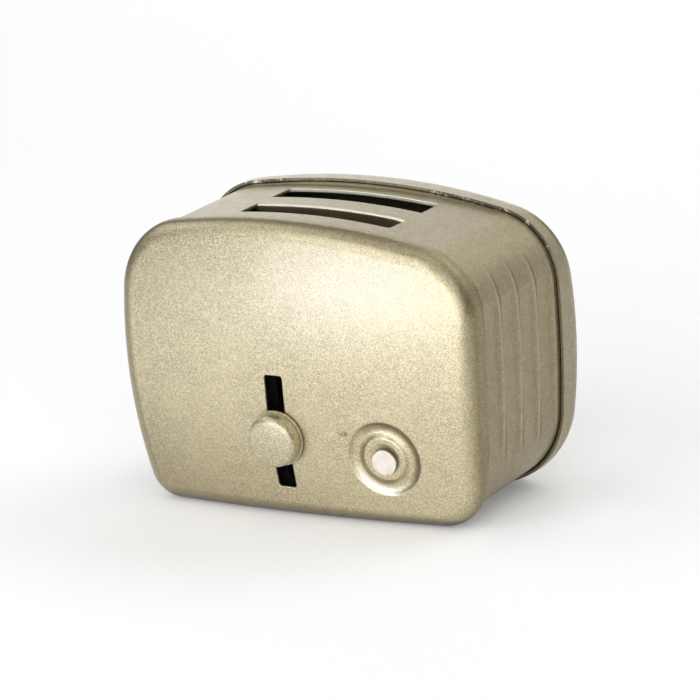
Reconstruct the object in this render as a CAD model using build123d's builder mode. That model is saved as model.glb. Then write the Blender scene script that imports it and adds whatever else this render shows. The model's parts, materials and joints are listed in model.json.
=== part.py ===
from build123d import *
import os
from math import asin, atan2, cos, degrees, hypot, radians, sin, sqrt

# Miniature pressed-tin toaster. +Z up, front face towards -Y, millimetres.
# Origin: middle of the bounding box in X and Y, on the surface that the toaster stands on.

# Outline of the covers, seen from the front
base_width = 51.8          # where the side lines would meet the base line
shoulder_width = 55.2      # where the side lines would meet the top line
height = 41.0              # front cover
side_bulge = 1.1
top_crown = 3.5
crown_shift = 2.5          # the top's crown lies this far left of the middle
top_corner = 10.0
front_base_corner = 5.7
rear_base_corner = 10.8
corner_skew = 1.3          # base corners: this much tighter on the left, wider on the right
band_front_corner = 7.0    # the band's base corners open out towards the rear
band_rear_corner = 11.5

# Sheet metal and seats
sheet = 0.4
seat_gap = 0.1             # front rim on the band
cut_past = 1.0             # a cut runs this far past the metal
rear_swell = 0.35          # the rear cover is this much larger all round
body_depth = 32.9          # front face to rear face, both at their crowns

# Covers: crowned faces that roll over into a rim
crown_radius_v = 75.0
crown_radius_h = 209.0
edge_roll = 2.9
front_depth = 6.2          # crown of the front face to the end of its rim
rear_depth = 7.3
rim_overlap_front = 0.7
rim_overlap_rear = 2.1

# Band: bread slots and side flutes
slot_length = 23.9
slot_width = 4.2
slot_corner = 0.45
near_slot_setback = 12.0   # front crown to the middle of the slot
far_slot_setback = 20.4
flap_depth = 4.0
flap_bend = 0.35
top_sag = 0.3              # the band's top hangs this much lower just before the rear rim
sag_step = 0.5             # run in which it rises again to the rim
flute_count = 4
flute_pitch = 4.5
flute_depth = 0.36
flute_half_length = 13.0
flute_middle = 20.5
flute_setback = 6.7        # front crown to the first ridge
flute_run_out = 1.15       # the pressing arc goes on past the ends where the floor fades out
ridge_width = 0.35
ridge_slope = 0.6
base_joint = 0.8           # open joint between the band's ends, under the base

# Lever: slot in the front cover and the slide behind it
lever_x = -2.07
lever_slot_middle = 12.45
lever_slot_length = 16.1
lever_slot_width = 2.8
lever_slot_corner = 0.4
lever_slot_roll = 0.15     # rounded outer edge
lever_rest_height = 11.85
stem_diameter = 2.2
stem_tail_diameter = 1.6
stem_tip = 0.3             # end of the stem beyond its nut
end_clearance = 0.15
knob_diameter = 7.3
knob_height = 1.9
knob_dome = 0.45
knob_edge = 0.45
knob_blind = 1.0           # blind hole for the stem
flange_diameter = 7.9
flange_thickness = 0.3
flange_gap = 0.15

# Slide guide, slide block and the stack on the stem, as depths behind the face
guide_width = 9.6
guide_depth = 3.0
guide_web = 0.4
guide_wall = 0.8
guide_fit = 0.05
block_front = 1.3          # front of the slide block behind the face
block_width = 5.0
block_length = 6.0
block_thickness = 1.0
slide_clearance = 0.3
spring_diameter = 5.2
spring_thickness = 0.15
spring_dish = 0.25
nut_diameter = 3.8
nut_thickness = 0.35
stack_gap = 0.05

# Bread rack
rack_width = 5.0
rack_sheet = 0.5
rack_height = 8.8          # top of the spine, lever at rest
upright_rise = 2.6
tray_length = 22.0
tray_width = 3.4
tray_lip = 2.4
rivet_diameter = 1.0
rivet_head = 1.8
rivet_head_flat = 1.1      # flat on the end of a head
rivet_head_height = 0.3

# Base strip and divider
strip_width = 9.0
strip_margin = 1.2
strip_rivet_x = 2.6
strip_rivet_margin = 4.2
divider_clearance = 0.3
divider_foot = 3.4
divider_foot_inner = 6.0
divider_foot_outer = 14.0
window_clearance = 0.6
divider_rivet_x = 10.0

# Dial: a pressed ring round a dished boss with a white pin
dial_x = 14.0
dial_z = 9.95
ring_radius = 4.25
ring_section = 1.4
ring_depth = 0.65
dish_radius = 2.4
dish_depth = 0.5
press_round = 0.35         # outer edges of the ring and the dish
pin_head_diameter = 3.55
pin_head_thickness = 0.7
pin_head_gap = 0.02        # head over the dish
pin_edge = 0.12
pin_shank_diameter = 1.3
pin_hole_clearance = 0.05
pin_tail = 1.2

# Places worked out from the sizes above
crown_height = height / 2
barrel_half_height = 0.6 * height
lever_tilt = degrees(asin((crown_height - lever_slot_middle) / crown_radius_v))
lever_set_back = crown_radius_v * (1 - cos(radians(lever_tilt)))
rest_shift = (lever_rest_height - lever_slot_middle) / cos(radians(lever_tilt))
knob_reach = flange_gap + flange_thickness + knob_height + knob_dome
knob_projection = (knob_reach * cos(radians(lever_tilt)) - lever_set_back
                   - rest_shift * sin(radians(lever_tilt)))
front_crown = -(body_depth + knob_projection) / 2 + knob_projection
rear_crown = front_crown + body_depth
front_rim = front_crown + front_depth
rear_rim = rear_crown - rear_depth
band_front = front_rim - rim_overlap_front
band_rear = rear_rim + rim_overlap_rear
band_inset = sheet + seat_gap
dish_ball = (dish_radius**2 + dish_depth**2) / (2 * dish_depth)
near_slot_y = front_crown + near_slot_setback
far_slot_y = front_crown + far_slot_setback
bar_middle = (near_slot_y + far_slot_y) / 2
bar_width = far_slot_y - near_slot_y - slot_width
slot_top = height - band_inset
base_inside = band_inset + sheet
stem_reach = (lever_slot_length - stem_diameter) / 2 - end_clearance
lower_travel = stem_reach + rest_shift
upper_travel = stem_reach - rest_shift
spring_front = guide_depth + end_clearance
rack_front = spring_front + spring_dish + spring_thickness + stack_gap
stem_end = rack_front + rack_sheet + stack_gap + nut_thickness + stem_tip
pin_seat = dish_ball - dish_depth - sqrt(dish_ball**2 - (pin_head_diameter / 2)**2) + pin_head_gap


def side_circle(grow=0.0):
    """Centre and radius of the body's right side line."""
    half_base = base_width / 2 + grow
    half_shoulder = shoulder_width / 2 + grow
    shoulder = height + grow - top_crown
    side = hypot(half_shoulder - half_base, shoulder)
    radius = ((side / 2)**2 + side_bulge**2) / (2 * side_bulge)
    out = Vector(shoulder / side, 0, -(half_shoulder - half_base) / side)
    middle = Vector((half_base + half_shoulder) / 2, 0, shoulder / 2)
    return middle - out * (radius - side_bulge), radius


def outline(grow, base_corner, inset=0.0, sag=0.0):
    """Outline of the body seen from the front: flat base, bulged sides and a crowned top."""
    centre, side_radius = side_circle(grow)
    rise = top_crown - sag
    top_radius = ((shoulder_width / 2 + grow)**2 + rise**2) / (2 * rise)
    with BuildSketch() as sketch:
        with Locations((0, inset + height)):
            Rectangle(2 * shoulder_width, 2 * height)
        with Locations(Location((centre.X, centre.Z, 0), (0, 0, 180))):
            Circle(side_radius - inset, mode=Mode.INTERSECT)
        with Locations((-centre.X, centre.Z)):
            Circle(side_radius - inset, mode=Mode.INTERSECT)
        with Locations((-crown_shift, height + grow - sag - top_radius)):
            Circle(top_radius - inset, mode=Mode.INTERSECT)
        fillet(sketch.vertices().sort_by(Axis.Y)[-2:], radius=top_corner - inset)
        for side, skew in ((0, -corner_skew), (-1, corner_skew)):
            corners = sketch.vertices().filter_by_position(Axis.Y, inset - seat_gap, inset + seat_gap)
            fillet(corners.sort_by(Axis.X)[side], radius=base_corner + skew - inset)
    return sketch.sketch


def barrel(crown_y, facing, inset):
    """Solid with a crowned face: an upright arc swung about an axis far behind the face."""
    radius_v = crown_radius_v - inset
    radius_h = crown_radius_h - inset
    axis_y = crown_y - facing * (inset + radius_h)
    swing = degrees(atan2(shoulder_width, radius_h))
    bottom = crown_height - barrel_half_height
    top = crown_height + barrel_half_height
    arc_end = radius_h - radius_v + sqrt(radius_v**2 - barrel_half_height**2)
    start = Vector(0, facing, 0).rotate(Axis.Z, -swing)
    with BuildPart() as form:
        with BuildSketch(Plane((0, axis_y, 0), x_dir=start, z_dir=start.cross(Vector(0, 0, 1)))):
            with BuildLine():
                ThreePointArc((arc_end, bottom), (radius_h, crown_height), (arc_end, top))
                Polyline((arc_end, top), (0, top), (0, bottom), (arc_end, bottom))
            make_face()
        revolve(axis=Axis((0, axis_y, 0), (0, 0, 1)), revolution_arc=2 * swing)
    return form.part


def cover_form(grow, base_corner, crown_y, facing, depth, inset=0.0):
    """Solid form of a cover: the outline, a crowned face and a rolled edge, trimmed at the rim."""
    rim_y = crown_y - facing * (depth + inset)
    with BuildPart() as form:
        with BuildSketch(Plane.XZ.offset(-rim_y + facing * 2 * edge_roll)):
            add(outline(grow, base_corner, inset))
        extrude(amount=-facing * (depth + 4 * edge_roll))
        add(barrel(crown_y, facing, inset), mode=Mode.INTERSECT)
        face = form.faces().sort_by(Axis.Y)[-1 if facing > 0 else 0]
        fillet(face.edges(), radius=edge_roll - inset)
        split(bisect_by=Plane.XZ.offset(-rim_y), keep=Keep.BOTTOM if facing > 0 else Keep.TOP)
    return form.part


def face_point(x, z):
    """Point on the outside of the front face."""
    fall = crown_radius_v - sqrt(crown_radius_v**2 - (z - crown_height)**2)
    swing = crown_radius_h - fall
    return Vector(x, front_crown + crown_radius_h - sqrt(swing**2 - x**2), z)


def face_normal(x, z):
    """Outward direction of the front face."""
    point = face_point(x, z)
    rise = (z - crown_height) / crown_radius_v
    level = sqrt(1 - rise**2)
    out = Vector(x, point.Y - front_crown - crown_radius_h, 0).normalized()
    return Vector(out.X * level, out.Y * level, rise)


# Working planes of the lever and of the dial: local z points out of the face
lever_plane = Plane(origin=face_point(lever_x, lever_slot_middle), x_dir=(1, 0, 0),
                    z_dir=(0, -cos(radians(lever_tilt)), -sin(radians(lever_tilt))))
rest_plane = Plane(origin=lever_plane.from_local_coords((0, rest_shift, 0)), x_dir=(1, 0, 0),
                   z_dir=lever_plane.z_dir)
dial_plane = Plane(origin=face_point(dial_x, dial_z), x_dir=(1, 0, 0),
                   z_dir=face_normal(dial_x, dial_z))


# Lower end of the rack's upright, and the spine that runs back from it
upright_foot = ((rack_height - rack_sheet - rest_plane.origin.Z - rack_front * sin(radians(lever_tilt)))
                / cos(radians(lever_tilt)))
spine_start = rest_plane.from_local_coords((0, upright_foot, -rack_front)).Y
spine_end = far_slot_y + tray_width / 2
tray_rivet_places = [(lever_x, near_slot_y), (lever_x, far_slot_y)]
strip_rivet_places = [(x, y) for x in (-strip_rivet_x, strip_rivet_x)
                      for y in (band_front + strip_rivet_margin, band_rear - strip_rivet_margin)]
divider_rivet_places = [(x, bar_middle + divider_foot / 2) for x in (-divider_rivet_x, divider_rivet_x)]


def ring(section):
    """Round ring about the dial's axis, its section centred above the face."""
    with BuildPart() as form:
        with BuildSketch(Plane(dial_plane.origin, x_dir=dial_plane.x_dir, z_dir=-dial_plane.y_dir)):
            with Locations((ring_radius, ring_section - ring_depth)):
                Circle(section)
        revolve(axis=Axis(dial_plane.origin, dial_plane.z_dir))
    return form.part


def dish(extra):
    """Ball whose lower cap dishes the boss inside the ring."""
    with BuildPart() as form:
        with Locations(dial_plane.offset(dish_ball - dish_depth).origin):
            Sphere(dish_ball + extra)
    return form.part


def edges_on_face(edges, plane, half_width, half_length):
    """Edges that lie on the outside of the front face, within a rectangle on the plane."""
    picked = []
    for edge in edges:
        point = edge.position_at(0.5)
        place = plane.to_local_coords(point)
        if (abs(place.X) < half_width and abs(place.Y) < half_length
                and point.Y < face_point(point.X, point.Z).Y + seat_gap):
            picked.append(edge)
    return picked


guide_space = cover_form(0, front_base_corner, front_crown, -1, front_depth, sheet + guide_fit)
front_outer = cover_form(0, front_base_corner, front_crown, -1, front_depth)
front_inner = cover_form(0, front_base_corner, front_crown, -1, front_depth, sheet)
press_backing = (ring(ring_section + sheet) + dish(sheet)) & front_inner

with BuildPart() as front_cover:
    add(front_outer)
    add(front_inner, mode=Mode.SUBTRACT)
    # Pressed ring and dished boss of the dial
    add(press_backing)
    add(ring(ring_section), mode=Mode.SUBTRACT)
    add(dish(0), mode=Mode.SUBTRACT)
    fillet(edges_on_face(front_cover.edges(), dial_plane, ring_radius + ring_section,
                         ring_radius + ring_section), radius=press_round)
    with BuildSketch(dial_plane.offset(-3 * sheet)):
        Circle(pin_shank_diameter / 2 + pin_hole_clearance)
    extrude(amount=4 * sheet, mode=Mode.SUBTRACT)
    # Lever slot
    with BuildSketch(lever_plane.offset(-guide_depth)):
        RectangleRounded(lever_slot_width, lever_slot_length, lever_slot_corner)
    extrude(amount=2 * guide_depth, mode=Mode.SUBTRACT)
    fillet(edges_on_face(front_cover.edges(), lever_plane, lever_slot_width, lever_slot_length),
           radius=lever_slot_roll)
front_cover.part.label = "front_cover"

rear_outer = cover_form(rear_swell, rear_base_corner, rear_crown, 1, rear_depth)
rear_inner = cover_form(rear_swell, rear_base_corner, rear_crown, 1, rear_depth, sheet)

with BuildPart() as rear_cover:
    add(rear_outer)
    add(rear_inner, mode=Mode.SUBTRACT)
rear_cover.part.label = "rear_cover"


def band_share(y):
    """How far along the band y lies: 0 at its front end, 1 at its rear end."""
    return (y - band_front) / (band_rear - band_front)


def band_form(inset, extra):
    """Solid form of the band: it opens out to fit the rear cover, and its top sags."""
    with BuildPart() as form:
        for y, sag in ((band_front - extra, 0), (rear_rim - sag_step, top_sag),
                       (rear_rim, 0), (band_rear + extra, 0)):
            corner = band_front_corner + band_share(y) * (band_rear_corner - band_front_corner)
            with BuildSketch(Plane.XZ.offset(-y)):
                add(outline(rear_swell * band_share(y), corner, inset, sag))
        loft(ruled=True)
    return form.part


def side_wall(y):
    """Centre and radius of the band's side line at y, and its outward direction at the flutes."""
    centre, radius = side_circle(rear_swell * band_share(y))
    rise = (flute_middle - centre.Z) / radius
    return centre, radius - band_inset, Vector(sqrt(1 - rise**2), 0, rise)


def pressed_strip(y_middle, floor_width, top_width, bottom, top):
    """Strip along the side wall whose floor fades out at both ends."""
    centre, wall_radius, out = side_wall(y_middle)
    floor_radius = 1 / (1 / wall_radius - 2 * flute_depth / flute_half_length**2)
    apex = centre + out * wall_radius
    floor_centre = apex - out * (flute_depth + floor_radius)
    half_angle = degrees(asin(flute_half_length / floor_radius)) * flute_run_out
    begin = (apex - out * flute_depth - floor_centre).rotate(Axis((0, 0, 0), (0, 1, 0)), -half_angle)
    origin = floor_centre + begin + Vector(0, y_middle, 0)
    plane = Plane(origin, x_dir=(0, 1, 0), z_dir=begin.cross(Vector(0, 1, 0)))
    facing = 1 if plane.y_dir.dot(begin) > 0 else -1
    with BuildPart() as form:
        with BuildSketch(plane):
            with BuildLine():
                Polyline((-floor_width / 2, facing * bottom), (floor_width / 2, facing * bottom),
                         (top_width / 2, facing * top), (-top_width / 2, facing * top), close=True)
            make_face()
        revolve(axis=Axis(floor_centre, (0, 1, 0)), revolution_arc=2 * half_angle)
    return form.part


def slot_flaps():
    """The metal of the two bread slots, bent straight down at the bar between them."""
    with BuildPart() as form:
        for flap_y in (bar_middle - bar_width / 2 + sheet / 2, bar_middle + bar_width / 2 - sheet / 2):
            with BuildSketch(Plane.XY.offset(slot_top - flap_depth)):
                with Locations((0, flap_y)):
                    Rectangle(slot_length, sheet)
            extrude(amount=flap_depth + rear_swell)
        add(band_form(band_inset, 0), mode=Mode.INTERSECT)
    return form.part


flaps = slot_flaps()
flute_middles = [front_crown + flute_setback + (index + 0.5) * flute_pitch for index in range(flute_count)]
flute_top_width = flute_pitch - ridge_width + 2 * ridge_slope
flute_floor_width = flute_pitch - ridge_width - 2 * ridge_slope

with BuildPart() as body_band:
    add(band_form(band_inset, 0))
    add(band_form(band_inset + sheet, cut_past), mode=Mode.SUBTRACT)
    # Side panels pressed in, with a row of flutes between thin ridges
    for y in flute_middles:
        backing = pressed_strip(y, flute_pitch, flute_pitch, -sheet, flute_depth) & band_form(band_inset, 0)
        add(backing)
        mirror(backing, about=Plane.YZ)
    for y in flute_middles:
        flute = pressed_strip(y, flute_floor_width, flute_top_width, 0, 2 * flute_depth)
        add(flute, mode=Mode.SUBTRACT)
        mirror(flute, about=Plane.YZ, mode=Mode.SUBTRACT)
    # Bread slots; the metal of each is bent down at the bar between them
    for slot_y, side in ((near_slot_y, 1), (far_slot_y, -1)):
        with BuildSketch(Plane.XY.offset(height)):
            with Locations((0, slot_y)):
                RectangleRounded(slot_length, slot_width, slot_corner)
            # The bend runs the whole length, so the corners beside the bar are square
            with Locations((0, slot_y + side * slot_width / 4)):
                Rectangle(slot_length, slot_width / 2)
        extrude(amount=-2 * top_crown, mode=Mode.SUBTRACT)
    add(flaps)
    bends = [edge for edge in body_band.edges().filter_by_position(Axis.Z, slot_top - flap_depth / 2, height)
             if abs(abs(edge.center().Y - bar_middle) - bar_width / 2) < seat_gap
             and edge.length > slot_length / 2]
    fillet(bends, radius=flap_bend)
    # Open joint under the base, and the holes for its rivets
    with BuildSketch(Plane.XY):
        with Locations((0, (band_front + band_rear) / 2)):
            Rectangle(base_joint, 2 * body_depth)
        with Locations(*strip_rivet_places, *divider_rivet_places):
            Circle(rivet_diameter / 2)
    extrude(amount=base_inside + sheet, mode=Mode.SUBTRACT)
body_band.part.label = "body_band"


def rivet(bottom, top):
    """Upright rivet on the origin, its heads clasping the sheets between bottom and top."""
    with BuildPart() as form:
        with BuildSketch(Plane.XZ):
            with BuildLine():
                Polyline((0, bottom - rivet_head_height), (rivet_head_flat / 2, bottom - rivet_head_height),
                         (rivet_head / 2, bottom), (rivet_diameter / 2, bottom),
                         (rivet_diameter / 2, top), (rivet_head / 2, top),
                         (rivet_head_flat / 2, top + rivet_head_height), (0, top + rivet_head_height),
                         close=True)
            make_face()
        revolve(axis=Axis.Z)
    return form.part


# Strip that joins the band's ends under the base
strip_length = band_rear - band_front - 2 * strip_margin
with BuildPart() as seam_strip:
    with BuildSketch(Plane.XY.offset(base_inside)):
        with Locations((0, (band_front + band_rear) / 2)):
            Rectangle(strip_width, strip_length)
        with Locations(*strip_rivet_places):
            Circle(rivet_diameter / 2, mode=Mode.SUBTRACT)
    extrude(amount=sheet)
seam_strip.part.label = "seam_strip"

with BuildPart() as seam_rivets:
    with Locations(*strip_rivet_places):
        add(rivet(band_inset, base_inside + sheet))
seam_rivets.part.label = "seam_rivets"

# Divider between the bread wells: an upright sheet with a window for the rack and two bent feet
spine_bottom = rack_height - rack_sheet
spine_low = spine_bottom - lower_travel * cos(radians(lever_tilt)) - rivet_head_height
spine_high = rack_height + upper_travel * cos(radians(lever_tilt)) + rivet_head_height
with BuildPart() as bread_divider:
    with BuildSketch(Plane.XZ.offset(-bar_middle - sheet / 2)):
        add(outline(0, band_rear_corner, base_inside + divider_clearance, top_sag))
        with Locations((lever_x, (spine_low + spine_high) / 2)):
            RectangleRounded(rack_width + 2 * window_clearance,
                             spine_high - spine_low + 2 * window_clearance,
                             window_clearance, mode=Mode.SUBTRACT)
        # The sheet stands clear of the strip that joins the band's ends
        with Locations((0, base_inside)):
            Rectangle(2 * divider_foot_inner, 2 * (sheet + divider_clearance), mode=Mode.SUBTRACT)
    extrude(amount=sheet)
    for side in (-1, 1):
        with BuildSketch(Plane.XY.offset(base_inside)):
            with Locations((side * (divider_foot_inner + divider_foot_outer) / 2,
                            bar_middle + divider_foot / 2 - sheet / 2)):
                Rectangle(divider_foot_outer - divider_foot_inner, divider_foot)
            with Locations(*divider_rivet_places):
                Circle(rivet_diameter / 2, mode=Mode.SUBTRACT)
        extrude(amount=sheet)
bread_divider.part.label = "bread_divider"

with BuildPart() as divider_rivets:
    with Locations(*divider_rivet_places):
        add(rivet(band_inset, base_inside + sheet))
divider_rivets.part.label = "divider_rivets"

# Dial pin and the push nut behind the front cover
with BuildPart() as dial_pin:
    with BuildSketch(dial_plane.offset(pin_seat)):
        Circle(pin_head_diameter / 2)
    extrude(amount=pin_head_thickness)
    fillet(dial_pin.faces().sort_by(Axis(dial_plane.origin, dial_plane.z_dir))[-1].edges(),
           radius=pin_edge)
    with BuildSketch(dial_plane.offset(pin_seat)):
        Circle(pin_shank_diameter / 2)
    extrude(amount=-(pin_seat + dish_depth + sheet + pin_tail))
dial_pin.part.label = "dial_pin"

with BuildPart() as dial_nut:
    with BuildSketch(dial_plane.offset(-dish_depth - sheet - seat_gap)):
        Circle(nut_diameter / 2)
        Circle(pin_shank_diameter / 2, mode=Mode.SUBTRACT)
    extrude(amount=-nut_thickness)
dial_nut.part.label = "dial_nut"

# Moulded guide behind the lever slot: a contoured block with a track for the slide block
track_half = stem_reach + block_length / 2 + slide_clearance
guide_length = 2 * (track_half + guide_wall)
with BuildPart() as slide_guide:
    with BuildSketch(lever_plane.offset(-guide_depth)):
        Rectangle(guide_width, guide_length)
    extrude(amount=2 * guide_depth)
    add(guide_space, mode=Mode.INTERSECT)
    with BuildSketch(lever_plane.offset(-guide_depth + guide_web)):
        Rectangle(block_width + 2 * slide_clearance, 2 * track_half)
    extrude(amount=2 * guide_depth, mode=Mode.SUBTRACT)
    with BuildSketch(lever_plane.offset(-2 * guide_depth)):
        SlotOverall(2 * stem_reach + stem_tail_diameter + 2 * slide_clearance,
                    stem_tail_diameter + 2 * slide_clearance, rotation=90)
    extrude(amount=2 * guide_depth, mode=Mode.SUBTRACT)
slide_guide.part.label = "slide_guide"

# Knob, flange and stem
knob_base = flange_gap + flange_thickness


def turned_knob():
    """Domed knob on the Z axis, its foot resting on the flange."""
    knob_shoulder = knob_base + knob_height
    ball = ((knob_diameter / 2)**2 + knob_dome**2) / (2 * knob_dome)
    half_way = knob_shoulder + knob_dome - ball + sqrt(ball**2 - (knob_diameter / 4)**2)
    with BuildPart() as form:
        with BuildSketch(Plane.XZ) as profile:
            with BuildLine():
                Polyline((0, knob_base), (knob_diameter / 2, knob_base), (knob_diameter / 2, knob_shoulder))
                ThreePointArc((knob_diameter / 2, knob_shoulder), (knob_diameter / 4, half_way),
                              (0, knob_shoulder + knob_dome))
                Line((0, knob_shoulder + knob_dome), (0, knob_base))
            make_face()
            fillet(profile.vertices().sort_by_distance((knob_diameter / 2, knob_shoulder))[0],
                   radius=knob_edge)
        revolve(axis=Axis.Z)
        with BuildSketch(Plane.XY.offset(knob_base)):
            Circle(stem_diameter / 2)
        extrude(amount=knob_blind, mode=Mode.SUBTRACT)
    return form.part


with BuildPart() as lever_knob:
    with Locations(rest_plane.location):
        add(turned_knob())
lever_knob.part.label = "lever_knob"

with BuildPart() as knob_flange:
    with BuildSketch(rest_plane.offset(flange_gap)):
        Circle(flange_diameter / 2)
        Circle(stem_diameter / 2, mode=Mode.SUBTRACT)
    extrude(amount=flange_thickness)
knob_flange.part.label = "knob_flange"

with BuildPart() as lever_stem:
    with BuildSketch(rest_plane.offset(-block_front)):
        Circle(stem_diameter / 2)
    extrude(amount=block_front + knob_base + knob_blind)
    with BuildSketch(rest_plane.offset(-stem_end)):
        Circle(stem_tail_diameter / 2)
    extrude(amount=stem_end - block_front)
lever_stem.part.label = "lever_stem"

# Slide block, friction spring, rack arm and nut, threaded on the stem's tail
with BuildPart() as slide_block:
    with BuildSketch(rest_plane.offset(-block_front)):
        RectangleRounded(block_width, block_length, slide_clearance)
        Circle(stem_tail_diameter / 2, mode=Mode.SUBTRACT)
    extrude(amount=-block_thickness)
slide_block.part.label = "slide_block"

with BuildPart() as friction_spring:
    with BuildSketch(Plane(rest_plane.origin, x_dir=(1, 0, 0), z_dir=-rest_plane.y_dir)):
        with BuildLine():
            Polyline((stem_tail_diameter / 2, -spring_front - spring_dish),
                     (spring_diameter / 2, -spring_front),
                     (spring_diameter / 2, -spring_front - spring_thickness),
                     (stem_tail_diameter / 2, -spring_front - spring_dish - spring_thickness),
                     close=True)
        make_face()
    revolve(axis=Axis(rest_plane.origin, rest_plane.z_dir))
friction_spring.part.label = "friction_spring"

with BuildPart() as rack_arm:
    with BuildSketch(rest_plane.offset(-rack_front)):
        with Locations((0, (upright_rise + upright_foot) / 2)):
            Rectangle(rack_width, upright_rise - upright_foot)
        Circle(stem_tail_diameter / 2, mode=Mode.SUBTRACT)
    extrude(amount=-rack_sheet)
    with BuildSketch(Plane.XY.offset(rack_height)):
        with Locations((lever_x, (spine_start + spine_end) / 2)):
            Rectangle(rack_width, spine_end - spine_start)
        with Locations(*tray_rivet_places):
            Circle(rivet_diameter / 2, mode=Mode.SUBTRACT)
    extrude(amount=-rack_sheet)
rack_arm.part.label = "rack_arm"

with BuildPart() as stem_nut:
    with BuildSketch(rest_plane.offset(-rack_front - rack_sheet - stack_gap)):
        Circle(nut_diameter / 2)
        Circle(stem_tail_diameter / 2, mode=Mode.SUBTRACT)
    extrude(amount=-nut_thickness)
stem_nut.part.label = "stem_nut"


def tray(middle):
    """Bread tray: a flat strip with both long edges turned up."""
    with BuildPart() as form:
        with BuildSketch(Plane.YZ.offset(-tray_length / 2)):
            with BuildLine():
                Polyline((middle - tray_width / 2, rack_height + tray_lip),
                         (middle - tray_width / 2, rack_height),
                         (middle + tray_width / 2, rack_height),
                         (middle + tray_width / 2, rack_height + tray_lip),
                         (middle + tray_width / 2 - sheet, rack_height + tray_lip),
                         (middle + tray_width / 2 - sheet, rack_height + sheet),
                         (middle - tray_width / 2 + sheet, rack_height + sheet),
                         (middle - tray_width / 2 + sheet, rack_height + tray_lip), close=True)
            make_face()
        extrude(amount=tray_length)
        with BuildSketch(Plane.XY.offset(rack_height)):
            with Locations((lever_x, middle)):
                Circle(rivet_diameter / 2)
        extrude(amount=sheet, mode=Mode.SUBTRACT)
    return form.part


with BuildPart() as front_bread_tray:
    add(tray(near_slot_y))
front_bread_tray.part.label = "front_bread_tray"

with BuildPart() as rear_bread_tray:
    add(tray(far_slot_y))
rear_bread_tray.part.label = "rear_bread_tray"

with BuildPart() as tray_rivets:
    with Locations(*tray_rivet_places):
        add(rivet(rack_height - rack_sheet, rack_height + sheet))
tray_rivets.part.label = "tray_rivets"

nodes = [front_cover, rear_cover, body_band, seam_strip, seam_rivets, bread_divider,
         divider_rivets, dial_pin, dial_nut, slide_guide, lever_knob, knob_flange,
         lever_stem, slide_block, friction_spring, rack_arm, stem_nut, front_bread_tray,
         rear_bread_tray, tray_rivets]
os.makedirs("parts", exist_ok=True)
for node in nodes:
    export_step(node.part, f"parts/{node.part.label}.step")

print(f"front crown y {front_crown:.3f}, rear crown y {rear_crown:.3f}, rims {front_rim:.3f} {rear_rim:.3f}")
print(f"lever axis origin {rest_plane.origin}, direction {rest_plane.y_dir}")
print(f"lever travel -{lower_travel:.3f} to +{upper_travel:.3f}")
print(f"bread slots y {near_slot_y:.3f} {far_slot_y:.3f}, bar {bar_width:.2f}, divider y {bar_middle:.3f}")
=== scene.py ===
import json
import math

import bmesh
import bpy
from mathutils import Matrix, Vector
from mathutils import noise as mesh_noise


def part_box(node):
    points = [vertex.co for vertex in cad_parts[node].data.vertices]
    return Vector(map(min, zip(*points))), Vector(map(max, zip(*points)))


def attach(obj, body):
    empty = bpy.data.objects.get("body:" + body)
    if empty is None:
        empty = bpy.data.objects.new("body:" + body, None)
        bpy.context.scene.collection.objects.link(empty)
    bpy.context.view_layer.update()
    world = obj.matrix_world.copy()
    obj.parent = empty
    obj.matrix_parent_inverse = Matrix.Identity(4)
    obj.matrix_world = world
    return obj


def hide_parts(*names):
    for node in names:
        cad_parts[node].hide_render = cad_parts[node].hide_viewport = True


# Miniature pressed-tin toaster in champagne paint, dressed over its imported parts. Metres, front towards -Y.

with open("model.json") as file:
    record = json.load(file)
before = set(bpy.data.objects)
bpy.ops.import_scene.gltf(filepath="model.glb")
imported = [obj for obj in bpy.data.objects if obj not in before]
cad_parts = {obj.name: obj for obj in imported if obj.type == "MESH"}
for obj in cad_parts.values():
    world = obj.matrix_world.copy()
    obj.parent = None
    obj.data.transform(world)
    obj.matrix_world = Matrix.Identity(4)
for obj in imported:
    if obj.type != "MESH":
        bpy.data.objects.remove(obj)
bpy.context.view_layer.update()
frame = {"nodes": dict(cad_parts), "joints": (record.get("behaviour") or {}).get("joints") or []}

MM = 0.001


def direction(azimuth, elevation):
    """Unit vector away from the toaster, in degrees: azimuth 0 is its front and 90 its right side."""
    turn = math.radians(azimuth)
    rise = math.radians(elevation)
    return Vector((math.sin(turn) * math.cos(rise), -math.cos(turn) * math.cos(rise), math.sin(rise)))


# Places on the toaster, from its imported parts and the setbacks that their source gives

FRONT_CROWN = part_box("front_cover")[0].y
REAR_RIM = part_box("rear_cover")[0].y
NEAR_SLOT = FRONT_CROWN + 12.0 * MM     # middle of the slot
FAR_SLOT = FRONT_CROWN + 20.4 * MM
SLOT_HALF_WIDTH = 2.1 * MM
SLOT_HALF_LENGTH = 11.95 * MM
FIRST_RIDGE = FRONT_CROWN + 6.7 * MM
RIDGE_PITCH = 4.5 * MM
LAST_RIDGE = 4                          # counted from 0
RIDGE_MIDDLE = 21.2 * MM                # of the rubbed stretch

# The knob stands square on the slot that the lever slides in, the dial on the crowned face
LEVER_AXIS = frame["joints"][0]["axis"]
KNOB_SEAT = Vector((-2.07, -14.734, 11.85)) * MM
KNOB_OUT = Vector((0, -LEVER_AXIS[2], LEVER_AXIS[1]))
DIAL_SEAT = Vector((14.0, -14.0252, 9.95)) * MM
DIAL_OUT = direction(3.855, -8.086)
DIAL_RING = 4.75 * MM                   # radius of the pressed ring's outer wall
SCUFF_ACROSS = 8.3 * MM
SCUFF_HEIGHT = 13.2 * MM


# Node helpers

def link_or_set(tree, socket, value):
    """Links a socket from another one, or gives it a plain value."""
    if isinstance(value, bpy.types.NodeSocket):
        tree.links.new(value, socket)
    else:
        socket.default_value = value


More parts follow.
